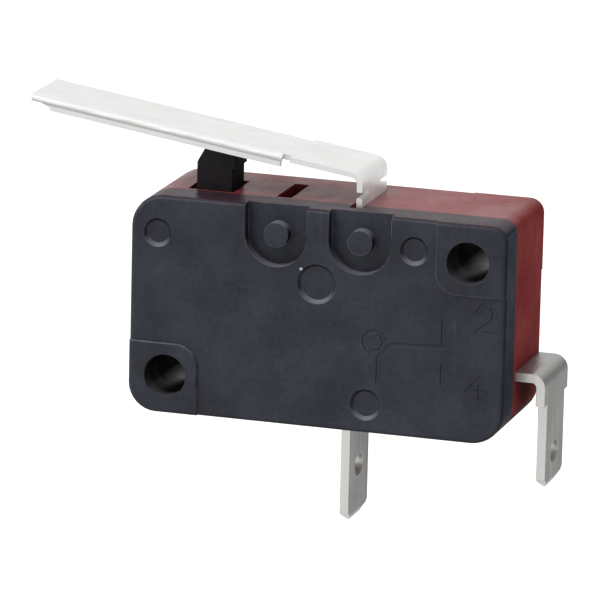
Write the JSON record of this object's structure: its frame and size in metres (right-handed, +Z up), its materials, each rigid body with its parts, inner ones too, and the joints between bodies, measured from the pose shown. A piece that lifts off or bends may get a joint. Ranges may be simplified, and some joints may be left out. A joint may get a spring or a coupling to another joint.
{
  "type": "lever micro switch",
  "caption": "Snap-action micro switch with a long sheet lever, one push-on blade below and one at the side.",
  "frame": {"origin": "on the axis of the lower left mounting hole, halfway through the case's thickness", "axes": "+X along the case towards the side blade, +Y from the cover to the back of the base, +Z up towards the plunger and the lever"},
  "size_m": [0.0384, 0.0104, 0.03],
  "materials": {
    "base_moulding": "semi-gloss phenolic, maroon",
    "cover_moulding": "satin phenolic, blue-black",
    "plunger_moulding": "satin, dark grey",
    "lever_steel": "bright rolled stainless sheet",
    "blade_plated": "plated brass strip",
    "contact_silver": "silver alloy",
    "spring_bronze": "rolled copper alloy",
    "spring_wire": "drawn wire"
  },
  "bodies": {
    "case": {"base": "base_moulding", "cover": "cover_moulding", "common_terminal": "blade_plated", "side_terminal": "blade_plated", "fixed_contact": "contact_silver", "rest_stop": "blade_plated"},
    "lever": {"lever": "lever_steel"},
    "plunger": {"plunger": "plunger_moulding"},
    "rocker": {"rocker": "spring_bronze"},
    "contact_arm": {"contact_arm": "spring_bronze", "moving_contact": "contact_silver"},
    "tension_spring": {"tension_spring": "spring_wire"}
  },
  "joints": [
    {"name": "lever_hinge", "type": "hinge", "parent": "case", "child": "lever", "pos_m": [0.0142, 0, 0.011], "axis": [0, -1, 0], "range_deg": [0, 8], "stiffness_Nm_per_rad": 0.03, "springref_deg": -2.86},
    {"name": "plunger_slide", "type": "slide", "parent": "case", "child": "plunger", "axis": [0, 0, -1], "range_m": [0, 0.00175]},
    {"name": "rocker_hinge", "type": "hinge", "parent": "case", "child": "rocker", "pos_m": [0.00815, 0.0014, 0.006], "axis": [0, -1, 0], "range_deg": [0, 17.7]},
    {"name": "contact_arm_hinge", "type": "hinge", "parent": "case", "child": "contact_arm", "pos_m": [0.0089, 0.0014, 0.0044], "axis": [0, 1, 0], "range_deg": [0, 5.7]},
    {"name": "spring_hinge", "type": "hinge", "parent": "rocker", "child": "tension_spring", "pos_m": [0.0045, 0.0014, 0.005], "axis": [0, 1, 0], "range_deg": [0, 15.6]}
  ],
  "couplings": [
    {"joint": "plunger_slide", "follows": "lever_hinge", "m_per_rad": 0.012465},
    {"joint": "rocker_hinge", "follows": "lever_hinge", "ratio": 2.2},
    {"joint": "contact_arm_hinge", "follows": "lever_hinge", "ratio": 0.7},
    {"joint": "spring_hinge", "follows": "lever_hinge", "ratio": 1.9375}
  ]
}
